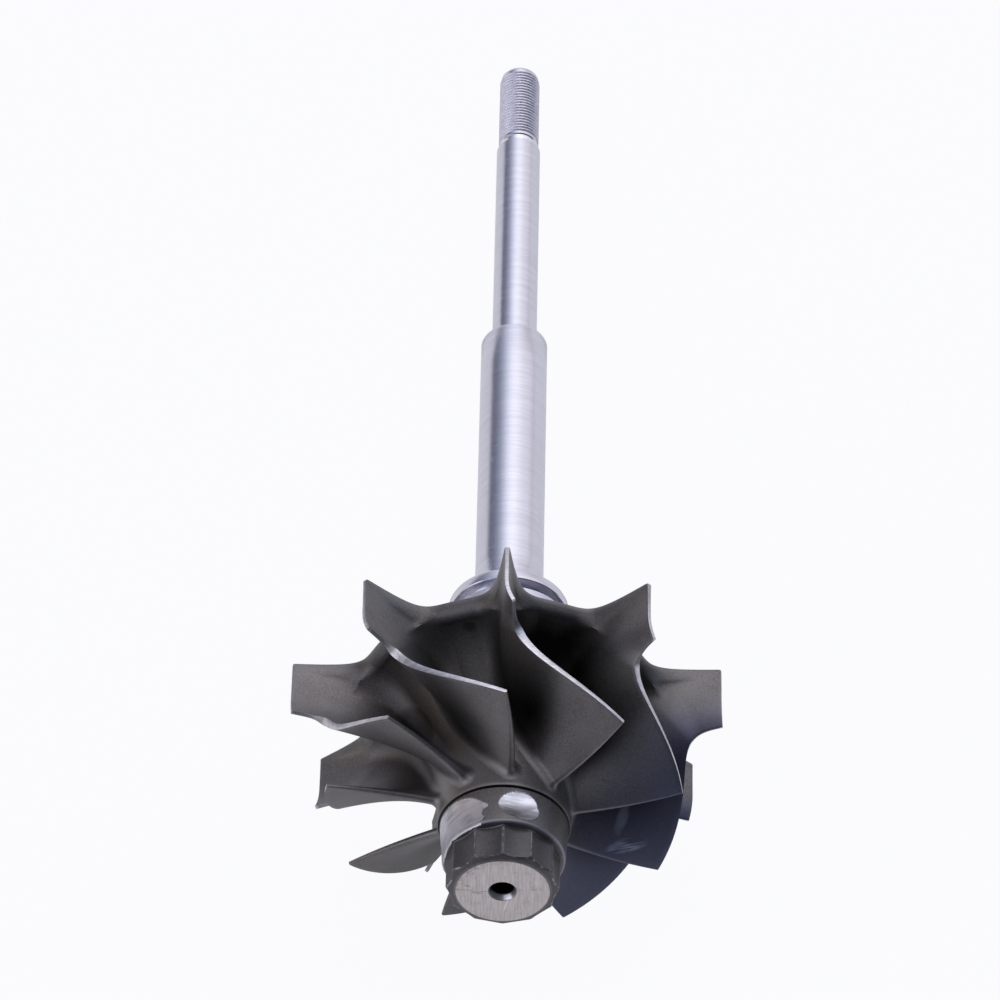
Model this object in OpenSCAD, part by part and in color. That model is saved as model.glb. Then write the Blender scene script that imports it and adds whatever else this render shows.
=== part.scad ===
// Turbine wheel and shaft of an exhaust turbocharger.
// The wheel is one investment casting: hub, nine blades, scalloped back disc and drive nose.
// The shaft is one turned and ground bar, welded to the boss on the wheel's back.
// Both are drawn about the shaft's own axis, with z running from the nose face to the thread,
// and are then laid down as they rest on a bench: on two blade tips and the end of the thread.

/* [Wheel] */
// Number of blades
blade_count = 9; // [7:1:12]
// Diameter over the inlet tips
wheel_d = 49.8; // [46:0.2:60]
// Diameter over the outlet tips
outlet_d = 40.7; // [36:0.1:43]
// Width of the blades' inlet edge, along the axis
inlet_w = 7.8; // [6:0.1:9]
// Distance from the nose face to the back of the blades
wheel_back = 29.3; // [27:0.1:33]
// Distance from the nose face to the outlet tips
outlet_tip_z = 11.9; // [11.2:0.1:13]
// Distance from the nose face to the foot of the outlet edge
outlet_foot_z = 11; // [10.4:0.1:12]

/* [Blades] */
// Turn of a blade about the axis, from its inlet to its outlet tip, in degrees
blade_twist = 40.7; // [25:0.5:45]
// Share of the blade's depth that stays radial before it starts to turn
radial_share = 0.25; // [0.1:0.01:0.4]
// Power with which the turn then grows
twist_power = 2.3; // [2:0.05:3]
// Blade thickness at the inlet tip
tip_t = 0.6; // [0.4:0.05:1.2]
// Blade thickness at the knee of the ground edge
knee_t = 0.95; // [0.5:0.05:1.4]
// Blade thickness at the outlet tip
outlet_t = 0.42; // [0.3:0.02:0.8]
// Extra thickness that a blade gains from its tip to its foot
foot_t = 0.7; // [0.2:0.05:1]
// Height of the cast fillet along a blade's foot
fillet = 1.1; // [0.4:0.1:1.4]

/* [Hub] */
// Diameter of the hub behind the balancing boss
hub_d = 15.1; // [14.7:0.1:16]
// Diameter of the back disc at the bottom of the scallops
scallop_d = 33; // [28:0.5:36]
// Angle over which a scallop runs up to a blade, in degrees
scallop_flare = 3.2; // [2:0.1:5]
// Thickness of the back disc at the bottom of the scallops
disc_t = 1.9; // [1:0.1:2.4]
// Thickness of the back disc at the blade tips
disc_tip_t = 0.6; // [0.5:0.1:1]
// Rise of the back face from the scallops in to the welding boss
back_rise = 1.5; // [0.5:0.1:2.5]
// Diameter of the boss that the shaft is welded to
weld_d = 14.6; // [14.4:0.1:18]
// Height of that boss beyond the risen back face
weld_boss_h = 1.7; // [0.5:0.1:3]

/* [Nose] */
// Diameter of the turned nose face
nose_face_d = 10.5; // [8:0.1:11.4]
// Diameter over the twelve points of the drive
points_d = 12.9; // [12.5:0.1:13.5]
// Depth of the flutes between the points
flute_depth = 0.5; // [0.3:0.02:0.6]
// Length of the drive, from the nose face to the balancing boss
drive_l = 4.4; // [3.2:0.1:5]
// Height of the chamfer round the nose face
nose_chamfer = 0.5; // [0.2:0.05:0.8]
// Diameter of the balancing boss at its front edge
boss_front_d = 14; // [13.7:0.1:14.3]
// Diameter of the balancing boss at its back edge
boss_back_d = 14.5; // [14.2:0.1:15]
// Length of the balancing boss
boss_l = 4.85; // [4.5:0.05:5.3]
// Mouth diameter of the turning centre
centre_mouth_d = 3.2; // [2.8:0.1:4.5]
// Pilot diameter of the turning centre
centre_d = 2.5; // [1.5:0.1:2.6]
// Depth of the turning centre
centre_depth = 4; // [2:0.1:6]

/* [Shaft] */
// Diameter of the collar that carries the seal ring
collar_d = 14; // [12:0.1:14.4]
// Distance from the nose face to the far side of the collar
collar_end = 42.3; // [40:0.1:48]
// Width of the land between the ring groove and the far side
land_w = 1.4; // [1:0.1:2]
// Width of the ring groove
groove_w = 1.3; // [1:0.05:2]
// Depth of the ring groove
groove_depth = 1.2; // [0.6:0.05:1.6]
// Diameter of the bearing journal
journal_d = 8; // [6.6:0.1:9]
// Distance from the nose face to the shoulder of the journal
journal_end = 85.1; // [70:0.1:100]
// Diameter of the compressor wheel's seat
seat_d = 5.4; // [5.2:0.05:5.9]
// Distance from the nose face to the start of the thread
thread_start = 120.2; // [110:0.1:126]
// Outside diameter of the thread
thread_d = 5; // [4.5:0.05:5.1]
// Distance from the nose face to the end of the shaft
shaft_end = 132.5; // [129:0.1:140]
// Width of the thread's run-out groove
runout_w = 1; // [0.6:0.1:2]
// Depth of the thread's run-out groove, below the thread
runout_depth = 0.3; // [0.2:0.05:0.5]
// Chamfer on the shaft's edges
shaft_chamfer = 0.3; // [0.1:0.05:0.4]
// Mouth diameter of the turning centre in the threaded end
tail_centre_d = 2; // [1.5:0.1:2.5]

/* [Hidden] */
$fn = 96;

wheel_r = wheel_d / 2;
outlet_r = outlet_d / 2;
hub_r = hub_d / 2;
scallop_r = scallop_d / 2;
points_r = points_d / 2;
weld_r = weld_d / 2;
collar_r = collar_d / 2;
journal_r = journal_d / 2;
seat_r = seat_d / 2;
thread_r = thread_d / 2;
pitch_angle = 360 / blade_count;
first_blade = 90 + pitch_angle / 2;
inlet_front_z = wheel_back - inlet_w;
blade_depth = wheel_back - outlet_tip_z;
boss_end = drive_l + boss_l;
weld_z = wheel_back + back_rise + weld_boss_h;

// The blades' feet stand a little inside the hub and the back disc
foot_sink = 0.7;
disc_sink = 0.25;
tip_inset = 0.05;

// Steps of the curves
blade_steps = 18;
height_steps = [0, 0.08, 0.14, 0.22, 0.34, 0.5, 0.72, 1];
hub_steps = 20;
scallop_steps = 10;

// Pull of the ground edge's curve, in from the inlet and back from the outlet
inlet_pull = 5.1;
inlet_pull_back = 0.4;
outlet_pull = 7.3;

// Small features of the casting
ring_line = 0.2;
hub_lip = 0.9;
edge_break = 0.25;
drill_point = 118;
centre_angle = 60;

function mix(a, b, u) = a + (b - a) * u;
function bezier(p, u) =
    p[0] * pow(1 - u, 3) + p[1] * 3 * u * pow(1 - u, 2)
    + p[2] * 3 * pow(u, 2) * (1 - u) + p[3] * pow(u, 3);

// Ground outer edge of a blade as [z, radius], from the inlet at 0 to the outlet at 1
function outer_edge(u) = bezier([
    [inlet_front_z, wheel_r],
    [inlet_front_z - inlet_pull_back, wheel_r - inlet_pull],
    [outlet_tip_z + outlet_pull, outlet_r],
    [outlet_tip_z, outlet_r]], u);

// Hub contour as [z, radius]: a quarter of an ellipse, from the back disc at 0 to the outlet at 1
hub_start_z = boss_end + hub_lip;
disc_front_z = wheel_back - disc_t;
hub_flank = disc_front_z - hub_start_z;
function hub_contour(u) = [
    disc_front_z - hub_flank * (1 - cos(90 * u)),
    scallop_r - (scallop_r - hub_r) * sin(90 * u)];

// Line that a blade's foot follows: in along the back disc, then down the hub
foot_disc_share = 0.3;
foot_end = acos(1 - (disc_front_z - outlet_foot_z) / hub_flank) / 90;
function foot_on_disc(u) = [
    mix(wheel_back - disc_tip_t, disc_front_z, u) + disc_sink,
    mix(wheel_r, scallop_r, u)];
function foot_on_hub(u) =
    let (p = hub_contour(u))
    [p[0] + disc_sink * cos(90 * u), p[1] - foot_sink * sin(90 * u)];
function foot_line(s) = s < foot_disc_share
    ? foot_on_disc(s / foot_disc_share)
    : foot_on_hub((s - foot_disc_share) / (1 - foot_disc_share) * foot_end);

// Turn of the blade about the axis at a distance z from the nose face, and its change per mm
turning_depth = blade_depth * (1 - radial_share);
function past_radial(z) = max(0, 1 - (z - outlet_tip_z) / turning_depth);
function blade_turn(z) = blade_twist * pow(past_radial(z), twist_power);
function turn_rate(z) =
    blade_twist * twist_power * pow(past_radial(z), twist_power - 1) / turning_depth;

// Half the blade's thickness, s along it, at the share q of its height and h mm above its foot
thickest = 0.35;
fillet_fall = 0.5;
outlet_fillet = 0.6;
function edge_t(s) = s < thickest
    ? mix(tip_t, knee_t, s / thickest)
    : mix(knee_t, outlet_t, (s - thickest) / (1 - thickest));
function fillet_at(s) = fillet * min(1, s / foot_disc_share) * mix(1, outlet_fillet, s);
function half_t(s, q, h) = edge_t(s) / 2 + foot_t / 2 * (1 - q) * min(1, s / foot_disc_share)
    + fillet_at(s) * exp(-h / (fillet * fillet_fall));

// Point on one side of a blade, side being 1 or -1
function blade_point(s, q, side) =
    let (foot = foot_line(s),
         edge = outer_edge(s),
         z = mix(foot[0], edge[0], q),
         r = mix(foot[1], edge[1], q),
         slant = atan(r * turn_rate(z) * PI / 180),
         t = side * half_t(s, q, norm(edge - foot) * q),
         turn = blade_turn(z) + t * cos(slant) / r * 180 / PI)
    [r * cos(turn), r * sin(turn), z + t * sin(slant)];

// One blade, as a skin over rows of points on both of its sides
module blade() {
    rows = blade_steps + 1;
    cols = len(height_steps);
    points = [for (side = [1, -1]) for (i = [0 : blade_steps]) for (q = height_steps)
        blade_point(i / blade_steps, q, side)];
    function at(side, i, j) = (side * rows + i) * cols + j;
    function pair(a, b, c, d) = [[a, b, c], [a, c, d]];
    sides = [for (i = [0 : rows - 2]) for (j = [0 : cols - 2]) each concat(
        pair(at(0, i, j), at(0, i, j + 1), at(0, i + 1, j + 1), at(0, i + 1, j)),
        pair(at(1, i, j), at(1, i + 1, j), at(1, i + 1, j + 1), at(1, i, j + 1)))];
    rims = [for (i = [0 : rows - 2]) for (j = [0, cols - 1])
        let (a = at(j == 0 ? 0 : 1, i, j), b = at(j == 0 ? 0 : 1, i + 1, j),
             c = at(j == 0 ? 1 : 0, i + 1, j), d = at(j == 0 ? 1 : 0, i, j))
        each pair(a, b, c, d)];
    ends = [for (j = [0 : cols - 2]) for (i = [0, rows - 1])
        let (near = i == 0 ? 0 : 1)
        each pair(at(1 - near, i, j), at(near, i, j), at(near, i, j + 1), at(1 - near, i, j + 1))];
    polyhedron(points, concat(sides, rims, ends));
}

// Outline of the scalloped back disc: out to each blade's tip, and round between the blades
tip_angle = asin(tip_t / 2 / wheel_r);
function scallop_reach(a) = scallop_r
    + (wheel_r - tip_inset - scallop_r) * exp(-(a - tip_angle) / scallop_flare);
function scallop_outline() = [
    for (k = [0 : blade_count - 1]) for (side = [-1, 1]) for (i = [0 : scallop_steps])
        if (side < 0 || i < scallop_steps)
        let (share = (side < 0 ? scallop_steps - i : i) / scallop_steps,
             a = mix(tip_angle, pitch_angle / 2, share * share),
             r = scallop_reach(a),
             turn = k * pitch_angle + side * a)
        [r * cos(turn), r * sin(turn)]];

// Solid of revolution of the cast wheel, from the nose to the welding boss
module hub_and_disc() {
    contour = [for (i = [hub_steps : -1 : 0]) hub_contour(i / hub_steps)];
    front = concat([
        [0, 0],
        [0, nose_face_d / 2],
        [nose_chamfer, points_r],
        [drive_l, points_r],
        [drive_l, boss_front_d / 2 - edge_break],
        [drive_l + edge_break, boss_front_d / 2],
        [boss_end - ring_line, boss_back_d / 2],
        [boss_end - ring_line, boss_back_d / 2 - ring_line],
        [boss_end, boss_back_d / 2 - ring_line],
        [boss_end, hub_r]],
        contour);
    back = [
        [wheel_back - disc_tip_t, wheel_r - tip_inset],
        [wheel_back, wheel_r - tip_inset],
        [wheel_back, scallop_r],
        [wheel_back + back_rise, weld_r + back_rise],
        [wheel_back + back_rise, weld_r],
        [weld_z, weld_r],
        [weld_z, 0]];
    rotate_extrude() polygon([for (p = concat(front, back)) [p[1], p[0]]]);
}

// Long flutes that leave twelve points round the nose
module flutes() {
    points = 12;
    step = 360 / points;
    half_chord = points_r * sin(step / 2);
    sag = points_r * cos(step / 2) - (points_r - flute_depth);
    flute_r = (half_chord * half_chord + sag * sag) / (2 * sag);
    for (k = [0 : points - 1]) rotate(90 + (k + 0.5) * step)
        translate([points_r - flute_depth + flute_r, 0, -1])
        cylinder(h = drive_l + 1, r = flute_r);
}

// Turning centre: a cone down to a short drilled pilot, along +z from a face
module turning_centre(mouth_d, pilot_d, depth) {
    cone_h = (mouth_d - pilot_d) / 2 / tan(centre_angle / 2);
    translate([0, 0, -1]) cylinder(h = depth + 1, d = pilot_d);
    translate([0, 0, depth]) cylinder(h = pilot_d / 2 / tan(drill_point / 2), d1 = pilot_d, d2 = 0);
    cylinder(h = cone_h, d1 = mouth_d, d2 = pilot_d);
}

// Hollow that a round grinding wheel leaves on the boss: how far round from the topmost blade,
// how far from the nose face, how deep, the wheel's radius and how it is tipped
cut_reach = 0.4;
module balance_cut(turn, z, depth, wheel_radius, tip) {
    intersection() {
        rotate(turn - 90) translate([boss_back_d / 2 - depth + wheel_radius, 0, z])
            rotate([90 + tip, 0, 0]) cylinder(h = boss_back_d, r = wheel_radius, center = true);
        translate([0, 0, drive_l - 1]) cylinder(h = boss_l + 1 + cut_reach, r = hub_r + cut_reach);
    }
}

// The wheel is ground away in one spot near the topmost blade, and in a long band to its left,
// by passes that run into each other
module balance_cuts() {
    balance_cut(14, 6.8, 0.47, 3.7, 3);
    balance_cut(-24, 6.6, 0.2, 3, 0);
    balance_cut(-29, 5.1, 0.22, 2.4, 0);
    for (pass = [0 : 3]) balance_cut(-36 - 14 * pass, 5.6, 0.42 + 0.04 * pass, 12, 0);
}

module turbine_wheel() color("dimgray") as_it_lies() {
    difference() {
        union() {
            intersection() {
                hub_and_disc();
                rotate(first_blade) translate([0, 0, -1]) linear_extrude(weld_z + 2)
                    polygon(scallop_outline());
            }
            for (k = [0 : blade_count - 1]) rotate(first_blade + k * pitch_angle) blade();
        }
        flutes();
        turning_centre(centre_mouth_d, centre_d, centre_depth);
        balance_cuts();
    }
}

// Turned and ground shaft, as one profile of [z, radius]
module shaft() color("silver") as_it_lies() {
    groove_end = collar_end - land_w;
    c = shaft_chamfer;
    profile = [
        [weld_z, 0],
        [weld_z, collar_r],
        [groove_end - groove_w, collar_r],
        [groove_end - groove_w, collar_r - groove_depth],
        [groove_end, collar_r - groove_depth],
        [groove_end, collar_r],
        [collar_end - c, collar_r],
        [collar_end, collar_r - c],
        [collar_end, journal_r],
        [journal_end - c, journal_r],
        [journal_end, journal_r - c],
        [journal_end, seat_r],
        [thread_start - runout_w, seat_r],
        [thread_start - runout_w, thread_r - runout_depth],
        [thread_start, thread_r - runout_depth],
        [thread_start + runout_depth, thread_r],
        [shaft_end - c, thread_r],
        [shaft_end, thread_r - c],
        [shaft_end, 0]];
    difference() {
        rotate_extrude() polygon([for (p = profile) [p[1], p[0]]]);
        translate([0, 0, shaft_end]) mirror([0, 0, 1])
            turning_centre(tail_centre_d, tail_centre_d / 2, tail_centre_d);
    }
}

// The axis slopes down to the thread, because two blade tips and the thread's end touch the bench
lowest_tip = (wheel_r - tip_inset) * cos(pitch_angle / 2 - tip_angle);
rest_slope = atan((lowest_tip - thread_r) / (shaft_end - shaft_chamfer - wheel_back));
module as_it_lies() rotate([-90 - rest_slope, 0, 0]) children();

turbine_wheel();
shaft();
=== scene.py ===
# Turbine rotor of an exhaust turbocharger, lying on a white bench on two blade tips and its thread.
# The pieces are drawn about the shaft's axis in millimetres, z from the nose face to the thread,
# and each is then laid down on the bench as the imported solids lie.
import math

import bpy
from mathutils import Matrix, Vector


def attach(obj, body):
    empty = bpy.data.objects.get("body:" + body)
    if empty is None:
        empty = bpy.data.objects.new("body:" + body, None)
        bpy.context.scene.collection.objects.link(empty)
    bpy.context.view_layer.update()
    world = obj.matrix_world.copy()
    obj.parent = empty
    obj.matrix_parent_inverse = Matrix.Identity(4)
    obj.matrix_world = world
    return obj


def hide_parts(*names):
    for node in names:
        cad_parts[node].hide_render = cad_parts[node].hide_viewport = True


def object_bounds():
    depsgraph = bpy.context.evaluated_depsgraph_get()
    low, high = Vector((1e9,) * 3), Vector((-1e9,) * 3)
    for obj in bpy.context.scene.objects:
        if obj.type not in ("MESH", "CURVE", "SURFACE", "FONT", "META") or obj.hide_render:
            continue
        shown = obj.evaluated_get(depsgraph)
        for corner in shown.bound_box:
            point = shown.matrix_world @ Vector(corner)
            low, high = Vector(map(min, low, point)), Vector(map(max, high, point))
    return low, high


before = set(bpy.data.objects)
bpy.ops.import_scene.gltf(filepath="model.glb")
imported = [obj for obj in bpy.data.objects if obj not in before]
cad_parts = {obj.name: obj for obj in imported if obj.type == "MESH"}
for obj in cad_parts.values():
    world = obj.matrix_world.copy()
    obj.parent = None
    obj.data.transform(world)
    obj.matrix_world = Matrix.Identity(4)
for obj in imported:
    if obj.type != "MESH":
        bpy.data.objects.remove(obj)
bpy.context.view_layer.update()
bpy.ops.object.select_all(action="DESELECT")


# The cast wheel: its skin, its sizes, and how the whole rotor lies.
# One investment casting of nickel alloy, blasted clean, with a dull grey-brown grain;
# the finished rotor rests on the two lowest blade tips and on the end of the thread.
BLADES = 9
PITCH = 360 / BLADES
WHEEL_R = 24.9
ARM_R = WHEEL_R - 0.05
WHEEL_BACK = 29.3
TIP_HALF = 0.3
SHAFT_END = 132.5
THREAD_R = 2.5
tip_angle = math.degrees(math.asin(TIP_HALF / WHEEL_R))
lowest_tip = ARM_R * math.cos(math.radians(PITCH / 2 - tip_angle))
slope = math.atan((lowest_tip - THREAD_R) / (SHAFT_END - 0.3 - WHEEL_BACK))
LAID = math.pi / 2 + slope
SKIN_DARK = (0.155, 0.14, 0.131, 1)
SKIN_LIGHT = (0.205, 0.192, 0.186, 1)
SKIN_GRAIN = (0.265, 0.252, 0.247, 1)
SKIN_SPECK = (0.07, 0.062, 0.058, 1)
# Blue of the painted reflection on the casting's lower right
BLUE_REFLECTION = (0.06, 0.075, 0.145, 1)
# Near black of the painted shade in the channels
PAINTED_SHADE = (0.008, 0.007, 0.006, 1)
# Colour of the painted light on the left of the hub
PAINTED_LIGHT = (0.33, 0.31, 0.3, 1)
# Middle of a painted shadow in one channel on the left
SHADOW_POCKET = (-9.7, -3.1, 21)
CAST_METALLIC = 0.85
SKIN_STRENGTH = 0.35
SKIN_DEPTH = 0.00006


def mix(a, b, u):
    return a + (b - a) * u


def smooth(a, b, x):
    u = min(1, max(0, (x - a) / (b - a)))
    return u * u * (3 - 2 * u)


def lay_down(piece):
    bpy.ops.object.select_all(action="DESELECT")
    piece.select_set(True)
    bpy.context.view_layer.objects.active = piece
    piece.rotation_euler = (-LAID, 0, 0)
    piece.scale = (0.001, 0.001, 0.001)
    bpy.ops.object.transform_apply(location=True, rotation=True, scale=True)
    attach(piece, "root")


class Wire:
    """A socket of a material's nodes, on which sums are written as plain Python"""

    def __init__(self, tree, socket=None):
        self.tree = tree
        self.socket = socket

    def add(self, kind, settings=None, sockets=None, out=0):
        """The wire out of a new node: its settings are set first, then its sockets are fed"""
        node = self.tree.nodes.new(kind)
        for key, value in (settings or {}).items():
            setattr(node, key, value)
        feed(self, node, sockets or {})
        return Wire(self.tree, node.outputs[out])

    def math(self, operation, other=None, swapped=False):
        pair = [self] if other is None else [other, self] if swapped else [self, other]
        return self.add("ShaderNodeMath", {"operation": operation}, dict(enumerate(pair)))

    def __add__(self, other):
        return self.math("ADD", other)

    def __radd__(self, other):
        return self.math("ADD", other)

    def __sub__(self, other):
        return self.math("SUBTRACT", other)

    def __rsub__(self, other):
        return self.math("SUBTRACT", other, swapped=True)

    def __mul__(self, other):
        return self.math("MULTIPLY", other)

    def __rmul__(self, other):
        return self.math("MULTIPLY", other)

    def step(self, low, high):
        """0 below low and 1 above high, with a soft ramp between"""
        return self.add("ShaderNodeMapRange", {"interpolation_type": "SMOOTHSTEP"},
                        {"Value": self, "From Min": low, "From Max": high})

    def blend(self, under, over):
        """The colour under, and over it the colour over where this mask is 1"""
        return self.add("ShaderNodeMix", {"data_type": "RGBA"},
                        {"Factor": self, "A": under, "B": over}, out="Result")

    def noise(self, scale, detail=2.0, roughness=0.5):
        return self.add("ShaderNodeTexNoise", None,
                        {"Vector": self, "Scale": scale, "Detail": detail, "Roughness": roughness})


def feed(start, node, sockets):
    """Give a node's sockets their values, or the links of their wires"""
    for key, value in sockets.items():
        if isinstance(value, Wire):
            start.tree.links.new(value.socket, node.inputs[key])
        else:
            node.inputs[key].default_value = value


def new_material(name):
    """A material, the wire that adds its nodes, its shader node, and places in mm about the axis"""
    material = bpy.data.materials.new(name)
    material.use_nodes = True
    tree = material.node_tree
    start = Wire(tree)
    seat = start.add("ShaderNodeMapping", None, {
        "Vector": start.add("ShaderNodeTexCoord", out="Object"),
        "Rotation": (LAID, 0, 0),
        "Scale": (1000, 1000, 1000)})
    return material, start, tree.nodes["Principled BSDF"], seat


def clouds_of(seat):
    return seat.noise(0.22, 3.0, 0.6)


def axes_of(seat):
    """Wires for a place's x, y and z"""
    parted = seat.add("ShaderNodeSeparateXYZ", None, {"Vector": seat}).socket.node
    return [Wire(seat.tree, parted.outputs[axis]) for axis in "XYZ"]


def off_axis(x, y):
    return (x * x + y * y).math("SQRT")


def drawn_out(start, x, y, z, detail, roughness):
    """Noise whose grain is drawn out by different amounts along the axes"""
    return start.add("ShaderNodeCombineXYZ", None, {"X": x, "Y": y, "Z": z}).noise(1.0, detail, roughness)


def spread_from(middle, wires, weights):
    """Squared distance from the middle of a soft blot, with a weight along each axis"""
    total = 0
    for wire, centre, weight in zip(wires, middle, weights):
        total = total + (wire - centre) * (wire - centre) * weight
    return total


def cast_skin(start, seat):
    """Colour, roughness and height of the blasted casting, with a painted bluish reflection on its lower
    right towards the nose
    """
    clouds = clouds_of(seat)
    grain = seat.noise(5.5, 4.0, 0.7)
    specks = seat.noise(3.1, 2.0, 0.5).step(0.66, 0.72)
    colour = clouds.step(0.3, 0.7).blend(SKIN_DARK, SKIN_LIGHT)
    colour = grain.step(0.35, 0.75).blend(colour, SKIN_GRAIN)
    colour = (specks * 0.5).blend(colour, SKIN_SPECK)
    x, y, z = axes_of(seat)
    # Painted reflection: the lower right, towards the nose, is tinted blue as if it mirrored a blue light
    blue_reflection = (x * 0.85 + y * 0.55 + clouds * 4).step(5, 17) * (1 - z.step(20, 26))
    colour = (blue_reflection * 0.72).blend(colour, BLUE_REFLECTION)
    roughness = 0.4 + grain * 0.14
    height = grain * 0.6 + seat.noise(1.3, 3.0, 0.6) * 0.7
    return colour, roughness, height


def bump(start, height, strength, distance):
    return start.add("ShaderNodeBump", None, {
        "Height": height,
        "Strength": strength,
        "Distance": distance})


def cast_material(name, marks=None):
    """The casting's skin, with painted shade in the channels, deepest on the right and in one pocket, and
    painted light on the hub's left near the boss
    """
    material, start, shader, seat = new_material(name)
    colour, roughness, height = cast_skin(start, seat)
    x, y, z = axes_of(seat)
    r = off_axis(x, y)
    # Painted shade: the channels between the blades are darkened towards the hub, more on the right side
    inward = 1 - (r - (z - 20).math("MAXIMUM", 0) * 0.2).step(11, 21)
    channel_shade = inward * z.step(12.5, 16.5) * (0.3 + x.step(-3, 4) * 0.5 + clouds_of(seat) * 0.5)
    # Painted shadow: one pocket on the left is darkened further
    shadow_pocket = 1 - spread_from(SHADOW_POCKET, (x, y, z), (0.08, 0.3, 0.05)).step(0.3, 1.6)
    front = 1 - z.step(WHEEL_BACK - 0.9, WHEEL_BACK - 0.1)
    colour = (channel_shade.math("MAXIMUM", shadow_pocket * 0.8) * front).blend(colour, PAINTED_SHADE)
    # Painted light: the hub's front on the left side, near the boss, is lightened as if lit from the left
    lit_side = (1 - z.step(12, 18)) * (1 - r.step(9, 13)) * (1 - x.step(0, 6)) * 0.4
    colour = lit_side.blend(colour, PAINTED_LIGHT)
    if marks:
        colour = marks(start, seat, colour)
    feed(start, shader, {
        "Base Color": colour,
        "Metallic": CAST_METALLIC,
        "Roughness": roughness,
        "Normal": bump(start, height, SKIN_STRENGTH, SKIN_DEPTH)})
    return material


blasted_casting = cast_material("blasted_casting")


# The drive nose and the balancing boss, at the front of the casting.
# Twelve cast flutes take a socket; the face and its turning centre are turned bright,
# and the boss behind is ground away by hand on its heavy side, until the rotor runs true.
FACE_R = 5.25
POINTS_R = 6.45
FLUTES = 12
FLUTE_DEPTH = 0.5
POINT_ROUND = 0.07
DRIVE_L = 4.4
CHAMFER = 0.5
BOSS_FRONT_R = 7.0
BOSS_BACK_R = 7.25
BOSS_END = 9.25
BOSS_EDGE = 0.3
MOUTH_R = 1.6
PILOT_R = 1.25
PILOT_DEPTH = 4
CONE_END = 0.6
GLINT_TURN = 1.15
LINE_DEPTH = 0.2
# Near black of the painted shade in the boss's groove
CREASE_SHADE = (0.03, 0.028, 0.028, 1)
FACE_SCRATCHES = [
    ((-4.25, -0.95, -3.6, -0.8), 0.12), ((-5.1, -0.2, -3.2, -0.12), 0.06),
    ((-3.5, 0.25, -1.7, 0.05), 0.07), ((-2.9, 0.5, -2.3, 0.3), 0.06),
    ((3.2, -0.35, 3.8, -0.3), 0.07)]
BRIGHT_SCRATCH = (0.55, 1.6, 0.15, 3.3)
SPOTS = [(13.5, 6.75, 0.5), (19.5, 6.1, 0.4)]
SPOT_WHEEL = 4.3
SPOT_TIP = 3
BAND_TURNS = (-80, -37)
BAND_Z = 5.6
BAND_DEPTH = 0.42
BAND_WHEEL = 12
LEAST_CUT = 0.015
BAND_EDGE = [(3, -23), (4.6, -21), (5.3, -17), (5.8, -20.5), (6.2, -19), (6.6, -13.5), (7.0, -14.5),
             (7.6, -21), (8.2, -28), (8.7, -38), (8.95, -50), (9.1, -104)]


def turn(name, profile, steps):
    """A turned piece: its outline is drawn by pulling out a vertex, then spun about the axis"""
    bpy.ops.object.select_all(action="DESELECT")
    bpy.ops.mesh.primitive_plane_add(size=1)
    piece = bpy.context.object
    piece.name = name
    bpy.ops.object.mode_set(mode="EDIT")
    bpy.ops.mesh.select_all(action="SELECT")
    bpy.ops.mesh.merge(type="CENTER")
    z, r = profile[0]
    bpy.ops.transform.translate(value=(r, 0, z))
    for z_next, r_next in profile[1:]:
        reach = (r_next - r, 0, z_next - z)
        bpy.ops.mesh.extrude_vertices_move(TRANSFORM_OT_translate={"value": reach})
        z, r = z_next, r_next
    bpy.ops.mesh.select_all(action="SELECT")
    bpy.ops.mesh.spin(steps=steps, angle=2 * math.pi, center=(0, 0, 0), axis=(0, 0, 1))
    bpy.ops.mesh.select_all(action="SELECT")
    bpy.ops.mesh.remove_doubles(threshold=0.0005)
    bpy.ops.mesh.normals_make_consistent(inside=False)
    bpy.ops.object.mode_set(mode="OBJECT")
    return piece


def flute_radius(angle):
    """Radius of the fluted flank at an angle about the axis, its points a little rounded"""
    step = 360 / FLUTES
    off = abs((angle - 90) % step - step / 2)
    half_chord = POINTS_R * math.sin(math.radians(step / 2))
    sag = POINTS_R * math.cos(math.radians(step / 2)) - (POINTS_R - FLUTE_DEPTH)
    flute_r = (half_chord ** 2 + sag ** 2) / (2 * sag)
    centre = POINTS_R - FLUTE_DEPTH + flute_r
    a = math.radians(off)
    r = centre * math.cos(a) - math.sqrt(flute_r ** 2 - (centre * math.sin(a)) ** 2)
    return r - POINT_ROUND * smooth(step / 2 - 1.8, step / 2, off)


def spot_radius(turn_by, z, r):
    """Radius that the ground spots leave at a place on the boss; each is the hollow of a small wheel"""
    tip = math.radians(SPOT_TIP)
    for spot_turn, spot_z, depth in SPOTS:
        a = math.radians(turn_by - spot_turn)
        centre = BOSS_BACK_R - depth + SPOT_WHEEL
        aa = math.cos(a) ** 2 + (math.sin(a) * math.sin(tip)) ** 2
        bb = -2 * (centre * math.cos(a) + math.sin(a) * math.sin(tip) * (z - spot_z) * math.cos(tip))
        cc = centre ** 2 + ((z - spot_z) * math.cos(tip)) ** 2 - SPOT_WHEEL ** 2
        under = bb * bb - 4 * aa * cc
        if math.cos(a) > 0 and under > 0:
            r = min(r, (-bb - math.sqrt(under)) / (2 * aa))
    return r


def band_radius(turn_by, z, r):
    """Radius that the long ground band leaves: a wheel passed round the boss, up to a ragged edge"""
    edge = None
    for (z_a, a), (z_b, b) in zip(BAND_EDGE, BAND_EDGE[1:]):
        if z_a <= z < z_b:
            edge = mix(a, b, (z - z_a) / (z_b - z_a))
    if edge is None or not BAND_EDGE[-1][1] < turn_by < edge:
        return r
    nearest = min(max(turn_by, BAND_TURNS[0]), BAND_TURNS[1])
    run_out = r * (1 - math.cos(math.radians(turn_by - nearest)))
    return r - max(LEAST_CUT, BAND_DEPTH - (z - BAND_Z) ** 2 / (2 * BAND_WHEEL) - run_out)


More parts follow.
